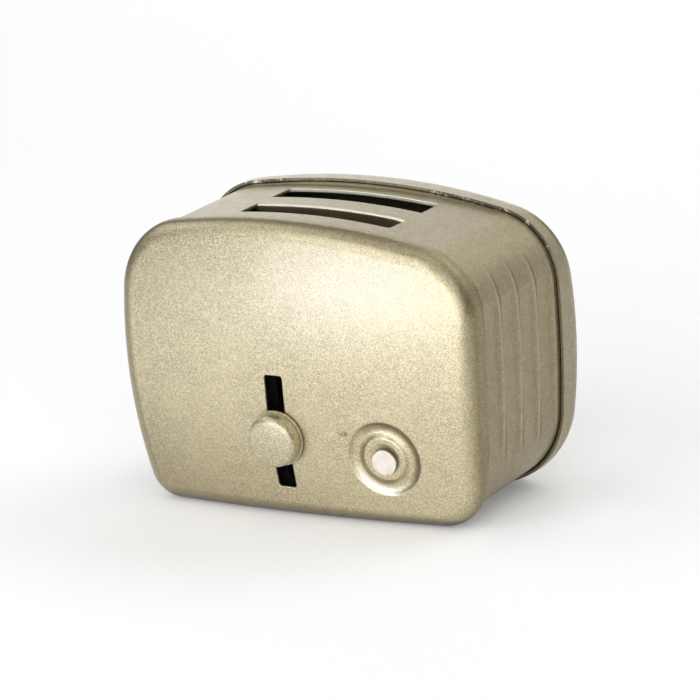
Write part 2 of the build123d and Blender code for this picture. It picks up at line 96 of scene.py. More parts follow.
def add_node(tree, kind, inputs=None, **settings):
    """Adds one shader node; an input is either a plain value or a socket to link from."""
    node = tree.nodes.new(kind)
    for name, value in settings.items():
        setattr(node, name, value)
    for name, value in (inputs or {}).items():
        link_or_set(tree, node.inputs[name], value)
    return node


def maths(tree, operation, first, second=None, clamp=False):
    inputs = {0: first}
    if second is not None:
        inputs[1] = second
    return add_node(tree, "ShaderNodeMath", inputs, operation=operation, use_clamp=clamp).outputs[0]


def plus(tree, first, second):
    return maths(tree, "ADD", first, second)


def minus(tree, first, second):
    return maths(tree, "SUBTRACT", first, second)


def times(tree, *factors):
    result = factors[0]
    for factor in factors[1:]:
        result = maths(tree, "MULTIPLY", result, factor)
    return result


def divided(tree, value, whole):
    return maths(tree, "DIVIDE", value, whole)


def apart(tree, first, second):
    """How far two values are from each other."""
    return maths(tree, "ABSOLUTE", minus(tree, first, second))


def hypotenuse(tree, across, above):
    return maths(tree, "SQRT", plus(tree, times(tree, across, across), times(tree, above, above)))


def ramp(tree, value, low, high):
    """Straight ramp from 0 at low to 1 at high, clamped."""
    node = add_node(tree, "ShaderNodeMapRange", {"Value": value, "From Min": low, "From Max": high})
    return node.outputs["Result"]


def spread(tree, value, low, high, to_low=0.0, to_high=1.0):
    """Maps low..high of a value to to_low..to_high, clamped and eased at both ends."""
    node = add_node(tree, "ShaderNodeMapRange", {"Value": value, "From Min": low, "From Max": high,
                                                 "To Min": to_low, "To Max": to_high},
                    interpolation_type="SMOOTHSTEP")
    return node.outputs["Result"]


def between(tree, value, start, full, fade, end):
    """Mask that rises from start to full and falls again from fade to end."""
    return times(tree, spread(tree, value, start, full), spread(tree, value, end, fade))


def blend_colour(tree, mask, first, second, kind="MIX"):
    """Blends two colours, each a plain RGB colour or a socket, by a mask."""
    node = add_node(tree, "ShaderNodeMix", data_type="RGBA", blend_type=kind)
    link_or_set(tree, node.inputs[0], mask)
    for index, colour in ((6, first), (7, second)):
        plain = isinstance(colour, tuple)
        link_or_set(tree, node.inputs[index], (*colour, 1.0) if plain else colour)
    return node.outputs[2]


def stain(tree, colour, mask, second, strength=1.0):
    """Lays a second colour over the first where the mask is."""
    share = times(tree, mask, strength) if strength < 1 else mask
    return blend_colour(tree, share, colour, second)


def shade(tree, colour, mask, second):
    """Multiplies the first colour by the second where the mask is."""
    return blend_colour(tree, mask, colour, second, "MULTIPLY")


def scaled(colour, factor):
    """A colour made lighter or darker."""
    return tuple(min(1.0, factor * channel) for channel in colour)


def noise(tree, where, size, detail=2.0, roughness=0.5, distortion=0.0):
    """Noise whose lumps are about size across, a plain length or a socket."""
    linked = isinstance(size, bpy.types.NodeSocket)
    scale = divided(tree, 1.0, size) if linked else 1 / size
    node = add_node(tree, "ShaderNodeTexNoise", {"Vector": where, "Scale": scale, "Detail": detail,
                                                 "Roughness": roughness, "Distortion": distortion})
    return node.outputs["Fac"]


def object_place(tree):
    return add_node(tree, "ShaderNodeTexCoord").outputs["Object"]


def place_axes(tree):
    """X, Y and Z of the shaded point."""
    return add_node(tree, "ShaderNodeSeparateXYZ", {"Vector": object_place(tree)}).outputs


def facing_axes(tree):
    """X, Y and Z of the way that the surface faces."""
    normal = add_node(tree, "ShaderNodeNewGeometry").outputs["Normal"]
    return add_node(tree, "ShaderNodeSeparateXYZ", {"Vector": normal}).outputs


def patchy(tree, size, weakest, low=0.3, detail=4.0, roughness=0.6):
    """Blotchy mask between weakest and 1, with blotches about size across."""
    lumps = noise(tree, object_place(tree), size, detail, roughness)
    return spread(tree, lumps, low, 0.6, weakest, 1.0)


def new_group(name, inputs, outputs):
    """Shader group with float inputs given as (name, default) and float outputs."""
    tree = bpy.data.node_groups.new(name, "ShaderNodeTree")
    for socket_name, default in inputs:
        socket = tree.interface.new_socket(name=socket_name, in_out="INPUT", socket_type="NodeSocketFloat")
        socket.default_value = default
    for socket_name in outputs:
        tree.interface.new_socket(name=socket_name, in_out="OUTPUT", socket_type="NodeSocketFloat")
    start = tree.nodes.new("NodeGroupInput")
    end = tree.nodes.new("NodeGroupOutput")
    return tree, start.outputs, end.inputs


def close_group(tree, out, **values):
    """Links the values to the group's outputs of the same names."""
    for name, value in values.items():
        tree.links.new(value, out[name])
    return tree


def use_group(tree, group, **values):
    """Places a group in a material with its own input values, and gives its outputs."""
    node = tree.nodes.new("ShaderNodeGroup")
    node.node_tree = group
    for name, value in values.items():
        link_or_set(tree, node.inputs[name.replace("_", " ")], value)
    return node.outputs


def new_material(name, **constants):
    """Material with one Principled shader; constants go on its own sockets."""
    material = bpy.data.materials.new(name)
    material.use_nodes = True
    shader = material.node_tree.nodes["Principled BSDF"]
    for key, value in constants.items():
        shader.inputs[key.replace("_", " ")].default_value = value
    return material, material.node_tree, shader


# Shared effects

def make_fleck_group():
    """Metal flecks in paint: fine flecks, a coarser mottle, a slow drift and the orange peel's height."""
    tree, given, out = new_group("paint_flecks", [("Fleck Size", 0.14 * MM), ("Peel Size", 0.7 * MM)],
                                 ["Fleck", "Mottle", "Drift", "Height"])
    mottle_size = 1.1 * MM
    drift_size = 9 * MM
    where = object_place(tree)
    cells = add_node(tree, "ShaderNodeTexVoronoi",
                     {"Vector": where, "Scale": divided(tree, 1.0, given["Fleck Size"])}, feature="F1")
    cell_shade = add_node(tree, "ShaderNodeSeparateColor", {"Color": cells.outputs["Color"]}).outputs[0]
    fine = spread(tree, noise(tree, where, given["Fleck Size"], 3.0, 0.6), 0.35, 0.65)
    fleck = spread(tree, plus(tree, times(tree, cell_shade, 0.5), times(tree, fine, 0.5)), 0.15, 0.85)
    mottle = spread(tree, noise(tree, where, mottle_size, 3.0, 0.6), 0.34, 0.66)
    drift = spread(tree, noise(tree, where, drift_size, 2.0, 0.5, distortion=0.6), 0.35, 0.65)
    peel = noise(tree, where, given["Peel Size"], 2.0, 0.55)
    height = plus(tree, times(tree, fleck, 0.5), times(tree, peel, 0.8))
    return close_group(tree, out, Fleck=fleck, Mottle=mottle, Drift=drift, Height=height)


def make_wear_group():
    """Mask along the sharp edges of a piece, broken up so that the wear is patchy."""
    tree, given, out = new_group("edge_wear", [("Reach", 0.18 * MM), ("Patch Size", 1.5 * MM),
                                               ("Amount", 0.5)], ["Worn"])
    rounded = add_node(tree, "ShaderNodeBevel", {"Radius": given["Reach"]}, samples=6)
    flat = add_node(tree, "ShaderNodeNewGeometry")
    along = add_node(tree, "ShaderNodeVectorMath", {0: rounded.outputs[0], 1: flat.outputs["Normal"]},
                     operation="DOT_PRODUCT")
    edge = spread(tree, along.outputs["Value"], 0.99, 0.80)
    patch = noise(tree, object_place(tree), given["Patch Size"], 4.0, 0.65)
    limit = minus(tree, 0.78, times(tree, given["Amount"], 0.5))    # the more wear, the lower
    broken = ramp(tree, patch, limit, plus(tree, limit, 0.08))
    return close_group(tree, out, Worn=maths(tree, "MULTIPLY", edge, broken, clamp=True))


def make_crease_shade_group():
    """Mask of painted shade in creases and corners, from ambient occlusion, with a little dust."""
    tree, given, out = new_group("crease_shade_and_dust", [("Reach", 1.5 * MM), ("Amount", 0.5)], ["Grime"])
    closed = add_node(tree, "ShaderNodeAmbientOcclusion", {"Distance": given["Reach"]}, samples=8)
    shut = spread(tree, closed.outputs["AO"], 0.85, 0.25)
    uneven = patchy(tree, 0.6 * MM, weakest=0.55, roughness=0.65)
    crease_shading = maths(tree, "MULTIPLY", times(tree, shut, uneven), given["Amount"], clamp=True)
    return close_group(tree, out, Grime=crease_shading)


def make_hairline_group():
    """Fine hairlines in rolled or turned metal: they run along X, Y or Z as the stretch says."""
    tree, given, out = new_group("drawn_lines", [("Along X", 1.0), ("Along Y", 1.0), ("Along Z", 1.0),
                                                 ("Line Size", 0.12 * MM)], ["Lines", "Cloud"])
    where = object_place(tree)
    stretch = add_node(tree, "ShaderNodeCombineXYZ", {"X": given["Along X"], "Y": given["Along Y"],
                                                      "Z": given["Along Z"]})
    pulled = add_node(tree, "ShaderNodeVectorMath", {0: where, 1: stretch.outputs[0]}, operation="MULTIPLY")
    lines = spread(tree, noise(tree, pulled.outputs[0], given["Line Size"], 3.0, 0.7), 0.3, 0.7)
    cloud_size = 3.5 * MM
    cloud = spread(tree, noise(tree, where, cloud_size, 4.0, 0.6), 0.3, 0.7)
    return close_group(tree, out, Lines=lines, Cloud=cloud)


def make_line_group():
    """Light and dark dashes along an edge that lies at one depth, on the upper part of the piece: the light
    ones are worn paint and painted highlight, the dark ones dirt and painted shade.

    They keep to the mask Edge and are faint within Gap Half of Gap Middle; below zero is no gap.
    """
    tree, given, out = new_group("edge_line_wear_and_light",
                                 [("Place", 0.0), ("Half Width", 0.2 * MM), ("Lowest", 33 * MM),
                                  ("Half Length", 30 * MM), ("Cover", 0.6), ("Edge", 1.0),
                                  ("Gap Middle", 0.0), ("Gap Half", -10 * MM)], ["Worn", "Dirt"])
    wander_size = 1.4 * MM
    wander_reach = 0.3 * MM
    dash_size = 1.1 * MM
    gap_rest = 0.12            # what a gap leaves of the line
    where = object_place(tree)
    place = place_axes(tree)
    wander = minus(tree, noise(tree, where, wander_size, 3.0, 0.6), 0.5)
    wavy_depth = plus(tree, place["Y"], times(tree, wander, wander_reach))
    off = divided(tree, apart(tree, wavy_depth, given["Place"]), given["Half Width"])
    near = ramp(tree, off, 1.0, 0.5)
    high = spread(tree, minus(tree, place["Z"], given["Lowest"]), 0.0, 2 * MM)
    before_end = minus(tree, given["Half Length"], maths(tree, "ABSOLUTE", place["X"]))
    past_gap = minus(tree, apart(tree, place["X"], given["Gap Middle"]), given["Gap Half"])
    clear = spread(tree, past_gap, -1 * MM, 2 * MM, gap_rest, 1.0)
    kept = times(tree, high, given["Edge"], clear, spread(tree, before_end, 0.0, 0.4 * MM))
    line = maths(tree, "MULTIPLY", near, kept, clamp=True)
    limit = minus(tree, 0.72, times(tree, given["Cover"], 0.42))
    shown = ramp(tree, noise(tree, where, dash_size, 4.0, 0.7), limit, plus(tree, limit, 0.06))
    hidden = maths(tree, "SUBTRACT", 1.0, shown, clamp=True)
    return close_group(tree, out, Worn=times(tree, line, shown), Dirt=times(tree, line, hidden))


def make_ridge_group():
    """Lighter paint on the ridges between the flutes, partly worn and partly a painted highlight, and painted
    shade in the crease behind each.
    """
    tree, given, out = new_group("ridge_lines", [("First", 0.0), ("Pitch", 4.5 * MM)], ["Worn", "Dirt"])
    full_half_height = 11.0 * MM
    end_half_height = 14.5 * MM
    side_begins = 20 * MM
    side_full = 24 * MM
    place = place_axes(tree)
    count = divided(tree, minus(tree, place["Y"], given["First"]), given["Pitch"])
    offset = times(tree, minus(tree, count, maths(tree, "ROUND", count)), given["Pitch"])
    inside = between(tree, count, -0.3, -0.15, LAST_RIDGE + 0.15, LAST_RIDGE + 0.3)
    tall = spread(tree, apart(tree, place["Z"], RIDGE_MIDDLE), end_half_height, full_half_height)
    side = spread(tree, maths(tree, "ABSOLUTE", place["X"]), side_begins, side_full)
    panel = times(tree, inside, tall, side)
    brightened = patchy(tree, 2.5 * MM, weakest=0.5, detail=3.0)
    top = between(tree, offset, -0.5 * MM, -0.2 * MM, 0.1 * MM, 0.25 * MM)
    crease = between(tree, offset, 0.15 * MM, 0.3 * MM, 0.5 * MM, 0.8 * MM)
    return close_group(tree, out, Worn=times(tree, top, panel, brightened), Dirt=times(tree, crease, panel))


def make_turn_group():
    """Masks of the way that a face looks.

    Crosswise is straight forward or back, Bend is between that and up or sideways, Rolled is away
    from the front, and Under is down or to the left.
    """
    tree, given, out = new_group("face_turn", [("Begin", -0.93), ("Full", -0.2)],
                                 ["Crosswise", "Bend", "Rolled", "Under"])
    facing = facing_axes(tree)
    steep = maths(tree, "ABSOLUTE", facing["Y"])
    down_or_left = plus(tree, times(tree, facing["X"], -1.1), times(tree, facing["Z"], -0.8))
    return close_group(tree, out,
                       Crosswise=spread(tree, steep, 0.8, 0.95),
                       Bend=between(tree, steep, 0.12, 0.3, 0.9, 0.98),
                       Rolled=ramp(tree, facing["Y"], given["Begin"], given["Full"]),
                       Under=spread(tree, down_or_left, 0.07, 0.42))


def make_nick_group():
    """A small dark scuff, wider than high, at one place on the front."""
    tree, given, out = new_group("nick_mark", [("Across", 0.0), ("Height", 0.0), ("Size", 1.1 * MM)],
                                 ["Mark"])
    flatness = 2.2
    torn_size = 0.3 * MM
    place = place_axes(tree)
    across = minus(tree, place["X"], given["Across"])
    above = times(tree, minus(tree, place["Z"], given["Height"]), flatness)
    near = ramp(tree, divided(tree, hypotenuse(tree, across, above), given["Size"]), 1.0, 0.4)
    torn = spread(tree, noise(tree, object_place(tree), torn_size, 4.0, 0.7), 0.44, 0.5)
    return close_group(tree, out, Mark=times(tree, near, torn))


def make_ring_shading_group():
    """Painted shade in the upper right of the dial's pressed ring and a painted highlight at its foot."""
    tree, given, out = new_group("ring_shade_and_highlight", [("Across", 0.0), ("Height", 0.0), ("Radius", 4.2 * MM),
                                                  ("Width", 0.9 * MM)], ["Dark", "Bright"])
    place = place_axes(tree)
    across = minus(tree, place["X"], given["Across"])
    above = minus(tree, place["Z"], given["Height"])
    radius = hypotenuse(tree, across, above)
    off = divided(tree, apart(tree, radius, given["Radius"]), given["Width"])
    in_front = spread(tree, facing_axes(tree)["Y"], -0.3, -0.5)
    ring = times(tree, spread(tree, off, 1.0, 0.25), in_front)
    uneven = patchy(tree, 1.2 * MM, weakest=0.55, low=0.25)

    def stretch(right, up, low, high):
        """The part of the ring that lies on one side of its middle: low and high are cosines."""
        toward = plus(tree, times(tree, across, right), times(tree, above, up))
        return times(tree, ring, spread(tree, divided(tree, toward, radius), low, high), uneven)

    upper_right = stretch(0.71, 0.71, -0.25, 0.4)
    foot = stretch(-0.45, -0.89, 0.45, 0.95)
    return close_group(tree, out, Dark=upper_right, Bright=foot)


flecks = make_fleck_group()
edge_wear = make_wear_group()
crease_shade_and_dust = make_crease_shade_group()
drawn_lines = make_hairline_group()
edge_line_wear_and_light = make_line_group()
ridge_lines = make_ridge_group()
face_turn = make_turn_group()
nick_mark = make_nick_group()
ring_shade_and_highlight = make_ring_shading_group()


# Colours of wear, dirt, painted shade and painted highlight; those ending in SHADE multiply the paint below
# them

RUBBED_PAINT = (0.84, 0.80, 0.68)
CREASE_SHADE_AND_DUST = (0.085, 0.07, 0.04)
RING_SHADE = (0.50, 0.44, 0.33)
RING_HIGHLIGHT = (0.95, 0.91, 0.78)
ROLLED_SHADE = (0.50, 0.47, 0.39)
UNDER_SHADE = (0.50, 0.445, 0.31)
SCUFF_BROWN = (0.16, 0.12, 0.06)
FLAP_SHADE = (0.10, 0.08, 0.042)
RIDGE_WEAR_AND_HIGHLIGHT = (0.86, 0.82, 0.70)
RIDGE_CREASE_SHADE = (0.12, 0.10, 0.07)
LINE_WEAR_AND_HIGHLIGHT = (0.92, 0.88, 0.72)
LINE_SHADE_AND_DIRT = (0.07, 0.06, 0.035)
METAL_CREASE_SHADE = (0.06, 0.05, 0.035)
BLACK_PLASTIC_CREASE_SHADE = (0.012, 0.011, 0.009)
WHITE_PLASTIC_CREASE_SHADE = (0.42, 0.36, 0.27)


# Finishes

def mark_front(tree, colour, facing):
    """The front cover's marks: painted shade and a painted highlight in the dial's ring, painted shade on the
    rolled edge and on faces turned down or to the left, and a scuff.
    """
    ring = use_group(tree, ring_shade_and_highlight, Across=DIAL_SEAT.x, Height=DIAL_SEAT.z, Radius=DIAL_RING)
    # Painted shade on the upper right of the dial's ring and a painted highlight at its foot
    ring_shaded = shade(tree, colour, ring["Dark"], RING_SHADE)
    brightened = stain(tree, ring_shaded, ring["Bright"], RING_HIGHLIGHT, strength=0.6)
    # Painted shade where the cover rolls away from the front and where it faces down or to the left
    rolled = shade(tree, brightened, facing["Rolled"], ROLLED_SHADE)
    under = shade(tree, rolled, facing["Under"], UNDER_SHADE)
    scuff = use_group(tree, nick_mark, Across=SCUFF_ACROSS, Height=SCUFF_HEIGHT)["Mark"]
    return stain(tree, under, scuff, SCUFF_BROWN)


def mark_band(tree, colour, facing):
    """The band's marks: painted shade on faces that look straight forward or back, most of all the slot
    flaps, lighter ridges that are partly worn paint and partly a painted highlight, and painted shade in the
    crease beside each ridge.
    """
    # Painted shade on faces that look straight forward or back, most of all the flaps down in the slots
    dulled = stain(tree, colour, facing["Crosswise"], FLAP_SHADE, strength=0.65)
    ridge = use_group(tree, ridge_lines, First=FIRST_RIDGE, Pitch=RIDGE_PITCH)
    # Ridge tops lighter as wear and painted highlight, the crease beside each darker as painted shade
    brightened = stain(tree, dulled, ridge["Worn"], RIDGE_WEAR_AND_HIGHLIGHT, strength=0.12)
    return stain(tree, brightened, ridge["Dirt"], RIDGE_CREASE_SHADE, strength=0.62)


def paint_line_wear_and_light(tree, colour, facing, on_bend=False, **values):
    """One line of wear and painted highlight with gaps of dirt and painted shade, from the group's own
    values; on_bend keeps it to the bend there.
    """
    line = use_group(tree, edge_line_wear_and_light, Edge=facing["Bend"] if on_bend else 1.0, **values)
    bright = stain(tree, colour, line["Worn"], LINE_WEAR_AND_HIGHLIGHT)
    return stain(tree, bright, line["Dirt"], LINE_SHADE_AND_DIRT, strength=0.7)


def champagne_paint(name, light, dark, roughness, coat=0.5, crease_shading=0.5, reach=1.5 * MM, grain=0.7,
                    marks=None, lines=(), rolled=False):
    """Baked metallic paint over tin: fine flecks, a faint mottle, thin at the edges.

    Grain is the flecks' contrast, marks adds the marks of one piece, lines holds the values of each
    line of wear, painted highlight and painted shade, and a rolled piece has less gloss where it turns away
    from the front.
    """
    material, tree, shader = new_material(name, Metallic=0.85, Coat_Roughness=0.3, Coat_Weight=coat,
                                          Coat_IOR=1.9, Specular_IOR_Level=0.5)
    paint = use_group(tree, flecks)
    facing = use_group(tree, face_turn)
    worn = use_group(tree, edge_wear, Amount=0.12)["Worn"]
    crease_shade = use_group(tree, crease_shade_and_dust, Amount=crease_shading, Reach=reach)["Grime"]
    fleck = spread(tree, paint["Fleck"], 0.0, 1.0, 0.5 - grain / 2, 0.5 + grain / 2)
    body = blend_colour(tree, fleck, dark, light)
    mottled = stain(tree, body, paint["Mottle"], scaled(dark, 0.85), strength=0.15)
    colour = stain(tree, mottled, paint["Drift"], light, strength=0.15)
    if marks:
        colour = marks(tree, colour, facing)
    colour = stain(tree, colour, worn, RUBBED_PAINT)
    for line in lines:
        colour = paint_line_wear_and_light(tree, colour, facing, **line)
    # Painted shade, with a little dust, darkens the creases and corners
    tree.links.new(stain(tree, colour, crease_shade, CREASE_SHADE_AND_DUST), shader.inputs["Base Color"])
    if rolled:
        lost_coat = times(tree, facing["Rolled"], 0.8 * coat)
        tree.links.new(minus(tree, coat, lost_coat), shader.inputs["Coat Weight"])
    by_fleck = 0.16
    by_mottle = 0.06
    by_crease_shade = 0.25
    uneven = plus(tree, times(tree, paint["Fleck"], by_fleck), times(tree, paint["Mottle"], by_mottle))
    matt = plus(tree, uneven, roughness - (by_fleck + by_mottle) / 2)
    dulled = maths(tree, "ADD", matt, times(tree, crease_shade, by_crease_shade), clamp=True)
    tree.links.new(dulled, shader.inputs["Roughness"])
    soft = add_node(tree, "ShaderNodeBevel", {"Radius": 0.1 * MM}, samples=6)
    bump = add_node(tree, "ShaderNodeBump", {"Strength": 1.0, "Distance": 0.014 * MM,
                                             "Height": paint["Height"], "Normal": soft.outputs[0]})
    tree.links.new(bump.outputs[0], shader.inputs["Normal"])
    return material


def bare_metal(name, light, dark, tarnish, roughness, stretch):
    """Rolled or turned metal with hairlines, cloudy tarnish and brighter edges."""
    material, tree, shader = new_material(name, Metallic=1.0)
    lines = use_group(tree, drawn_lines, Along_X=stretch[0], Along_Y=stretch[1], Along_Z=stretch[2])
    worn = use_group(tree, edge_wear, Amount=0.8)["Worn"]
    crease_shade = use_group(tree, crease_shade_and_dust, Amount=0.5)["Grime"]
    body = blend_colour(tree, lines["Lines"], dark, light)
    cloudy = stain(tree, body, lines["Cloud"], tarnish, strength=0.5)
    edged = stain(tree, cloudy, worn, scaled(light, 1.25))
    # Painted shade, with a little dust, darkens the creases and corners
    tree.links.new(stain(tree, edged, crease_shade, METAL_CREASE_SHADE), shader.inputs["Base Color"])
    uneven = plus(tree, times(tree, lines["Lines"], 0.16), times(tree, lines["Cloud"], 0.10))
    tree.links.new(plus(tree, uneven, roughness - 0.1), shader.inputs["Roughness"])
    bump = add_node(tree, "ShaderNodeBump", {"Strength": 0.6, "Distance": 0.006 * MM,
                                             "Height": lines["Lines"]})
    tree.links.new(bump.outputs[0], shader.inputs["Normal"])
    return material


def moulded_plastic(name, light, dark, crease_colour, roughness, grain, specular):
    """Moulded plastic: a fine tool grain, slightly uneven colour, and painted shade with a little dust in its
    corners.
    """
    material, tree, shader = new_material(name, Specular_IOR_Level=specular)
    cloud_size = 1.6 * MM
    where = object_place(tree)
    cloud = spread(tree, noise(tree, where, cloud_size, 4.0, 0.6), 0.3, 0.7)
    pores = noise(tree, where, grain, 2.0, 0.6)
    worn = use_group(tree, edge_wear, Amount=0.5)["Worn"]
    crease_shade = use_group(tree, crease_shade_and_dust, Amount=0.6)["Grime"]
    body = blend_colour(tree, cloud, dark, light)
    edged = stain(tree, body, worn, scaled(light, 1.3), strength=0.4)
    # Painted shade, with a little dust, darkens the corners
    tree.links.new(stain(tree, edged, crease_shade, crease_colour), shader.inputs["Base Color"])
    by_pores = 0.18
    matt = plus(tree, times(tree, pores, by_pores), roughness - by_pores / 2)
    tree.links.new(matt, shader.inputs["Roughness"])
    bump = add_node(tree, "ShaderNodeBump", {"Strength": 0.7, "Distance": 0.01 * MM, "Height": pores})
    tree.links.new(bump.outputs[0], shader.inputs["Normal"])
    return material


# Paints, metals and plastics of this toaster

# The rear rim has rubbed dashes and a painted shadow along its seam, apart from a stretch behind the slots;
# the slots' edges get a painted highlight, most on the bends of the flaps that go down on both sides of the
# bar between them
rim_line = dict(Place=REAR_RIM, Lowest=32.5 * MM, Half_Length=30 * MM, Cover=0.4,
                Gap_Middle=-2.5 * MM, Gap_Half=11 * MM)
slot_line = dict(Lowest=36.5 * MM, Half_Length=SLOT_HALF_LENGTH, Cover=1.2)
flap_line = dict(slot_line, Half_Width=1.6 * MM, on_bend=True)

cover_paint = champagne_paint("champagne_paint_front", light=(0.76, 0.67, 0.42), dark=(0.32, 0.265, 0.145),
                              roughness=0.42, coat=0.9, crease_shading=0.75, reach=2 * MM, grain=0.85,
                              marks=mark_front, rolled=True)
# The rear cover and the band have the front cover's champagne paint, made darker as painted shade
shaded_rear_paint = champagne_paint("champagne_paint_rear_shaded", light=(0.42, 0.367, 0.225), dark=(0.19, 0.16, 0.09),
                             roughness=0.46, coat=0.4, grain=0.9,
                             lines=[dict(rim_line, Half_Width=0.12 * MM)])
# Darker than the front cover's paint as painted shade on the sides and top
shaded_band_paint = champagne_paint("champagne_paint_band_shaded", light=(0.435, 0.372, 0.22), dark=(0.21, 0.174, 0.098),
                             roughness=0.46, coat=0.25, crease_shading=0.9, reach=4 * MM, grain=0.8,
                             marks=mark_band,
                             lines=[dict(flap_line, Place=NEAR_SLOT + SLOT_HALF_WIDTH),
                                    dict(slot_line, Place=FAR_SLOT + SLOT_HALF_WIDTH, Half_Width=0.3 * MM),
                                    dict(flap_line, Place=FAR_SLOT - SLOT_HALF_WIDTH),
                                    dict(rim_line, Half_Width=0.15 * MM)])
knob_paint = champagne_paint("champagne_paint_knob", light=(0.74, 0.665, 0.465), dark=(0.34, 0.29, 0.17),
                             roughness=0.42, grain=1.0)
inner_tin = bare_metal("rolled_tin", light=(0.56, 0.54, 0.48), dark=(0.40, 0.38, 0.33),
                       tarnish=(0.24, 0.22, 0.17), roughness=0.38, stretch=(0.06, 1.0, 1.0))
bright_steel = bare_metal("turned_steel", light=(0.66, 0.65, 0.62), dark=(0.50, 0.49, 0.46),
                          tarnish=(0.38, 0.37, 0.34), roughness=0.28, stretch=(1.0, 0.08, 1.0))
rivet_metal = bare_metal("rivet_steel", light=(0.60, 0.59, 0.55), dark=(0.44, 0.43, 0.40),
                         tarnish=(0.30, 0.28, 0.24), roughness=0.34, stretch=(1.0, 1.0, 1.0))
black_plastic = moulded_plastic("black_plastic", light=(0.008, 0.008, 0.008), dark=(0.004, 0.004, 0.004),
                                crease_colour=BLACK_PLASTIC_CREASE_SHADE, roughness=0.8, grain=0.15 * MM, specular=0.12)
white_plastic = moulded_plastic("white_plastic", light=(0.83, 0.78, 0.70), dark=(0.74, 0.68, 0.59),
                                crease_colour=WHITE_PLASTIC_CREASE_SHADE, roughness=0.55, grain=0.25 * MM, specular=0.4)

finish_of = {
    "front_cover": cover_paint, "rear_cover": shaded_rear_paint, "body_band": shaded_band_paint,
    "lever_knob": knob_paint, "knob_flange": knob_paint, "dial_pin": white_plastic,
    "slide_guide": black_plastic, "slide_block": black_plastic,
    "lever_stem": bright_steel, "friction_spring": bright_steel, "stem_nut": bright_steel,
    "dial_nut": bright_steel, "seam_rivets": rivet_metal, "divider_rivets": rivet_metal,
    "tray_rivets": rivet_metal, "seam_strip": inner_tin, "bread_divider": inner_tin,
    "rack_arm": inner_tin, "front_bread_tray": inner_tin, "rear_bread_tray": inner_tin,
}
for node_name, finish in finish_of.items():
    for material_slot in frame["nodes"][node_name].material_slots:
        material_slot.material = finish


# Pieces shaped here

ON_RING = 0.002 * MM       # how near a point has to be to count as on a ring
SAME_POINT = 0.0001 * MM   # points nearer than this are merged


def finish_piece(name, form, material, body, replaced):
    """Makes an object of a bmesh in place of a CAD node, riding on the same body."""
    mesh = bpy.data.meshes.new(name)
    form.to_mesh(mesh)
    form.free()
    mesh.shade_smooth()
    mesh.materials.append(material)
    piece = bpy.data.objects.new(name, mesh)
    bpy.context.collection.objects.link(piece)
    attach(piece, body)
    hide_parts(replaced)


def turned(profile, steps):
    """Closed form turned about Z from (radius, height) points that start and end on the axis."""
    form = bmesh.new()
    points = [form.verts.new((radius, 0, height)) for radius, height in profile]
    edges = [form.edges.new(pair) for pair in zip(points, points[1:])]
    bmesh.ops.spin(form, geom=points + edges, cent=(0, 0, 0), axis=(0, 0, 1), angle=math.tau,
                   steps=steps, use_merge=True)
    bmesh.ops.remove_doubles(form, verts=form.verts, dist=SAME_POINT)
    bmesh.ops.recalc_face_normals(form, faces=form.faces)
    return form


def on_ring(point, radius, height):
    """Whether a point lies on a ring about the Z axis."""
    return abs(math.hypot(point.x, point.y) - radius) < ON_RING and abs(point.z - height) < ON_RING


def round_rings(form, rings, segments=6):
    """Rounds whole rings of edges, given as (radius, height, offset)."""
    for radius, height, offset in rings:
        ring = [edge for edge in form.edges
                if all(on_ring(vert.co, radius, height) for vert in edge.verts)]
        bmesh.ops.bevel(form, geom=ring, offset=offset, offset_type="OFFSET", affect="EDGES",
                        segments=segments, profile=0.5, material=-1)


def dome(radius, height, rise, count=4):
    """Profile points of a shallow dome, from its edge to the axis."""
    ball = (radius**2 + rise**2) / (2 * rise)
    across = [radius * (1 - step / count) for step in range(1, count + 1)]
    return [(x, height + math.sqrt(ball**2 - x**2) - (ball - rise)) for x in across]


def place_on_face(form, seat, out):
    """Moves a form from the Z axis to a point of the front face, Z turned to point out of it."""
    turn = out.to_track_quat("Z", "Y").to_matrix().to_4x4()
    bmesh.ops.transform(form, matrix=Matrix.Translation(seat) @ turn, verts=form.verts)


def make_knob():
    """Knob with a pillowed face and a soft shoulder, standing off the face on its flange."""
    radius = 3.65 * MM
    foot = 0.45 * MM
    shoulder = 2.30 * MM
    pillow = 0.45 * MM
    shoulder_round = 0.66 * MM
    foot_round = 0.12 * MM
    side = [(0, foot), (radius, foot), (radius, shoulder)]
    form = turned(side + dome(radius, shoulder, pillow), steps=96)
    round_rings(form, [(radius, shoulder, shoulder_round), (radius, foot, foot_round)])
    place_on_face(form, KNOB_SEAT, KNOB_OUT)
    finish_piece("knob_face", form, knob_paint, "lever", "lever_knob")


def make_dial_pin():
    """White pin: a thin head with a hand-cut edge, a little low in the dish, and its shank."""
    head = 1.78 * MM
    shank = 0.65 * MM
    tail = -2.3 * MM
    seat = -0.21 * MM
    top = 0.16 * MM
    head_round = 0.07 * MM
    tail_round = 0.1 * MM
    cut_depth = 0.07           # of the head's radius
    cut_length = 0.9 * MM
    drop = 0.4 * MM            # the head sits this far below the middle of its dish
    crown = [(head, top), (head * 0.5, top * 1.15), (0, top * 1.2)]
    form = turned([(0, tail), (shank, tail), (shank, seat), (head, seat)] + crown, steps=72)
    round_rings(form, [(head, top, head_round), (shank, tail, tail_round)], segments=3)
    head_verts = [vert for vert in form.verts if vert.co.z > seat - ON_RING / 2]
    for vert in head_verts:
        if math.hypot(vert.co.x, vert.co.y) > 0.9 * head:
            lump = mesh_noise.noise(Vector((vert.co.x, vert.co.y, 0)) / cut_length)
            vert.co.x *= 1 + cut_depth * lump
            vert.co.y *= 1 + cut_depth * lump
        vert.co.y -= drop
    place_on_face(form, DIAL_SEAT, DIAL_OUT)
    finish_piece("white_pin", form, white_plastic, "body", "dial_pin")


make_knob()
make_dial_pin()


# Floor, light and camera

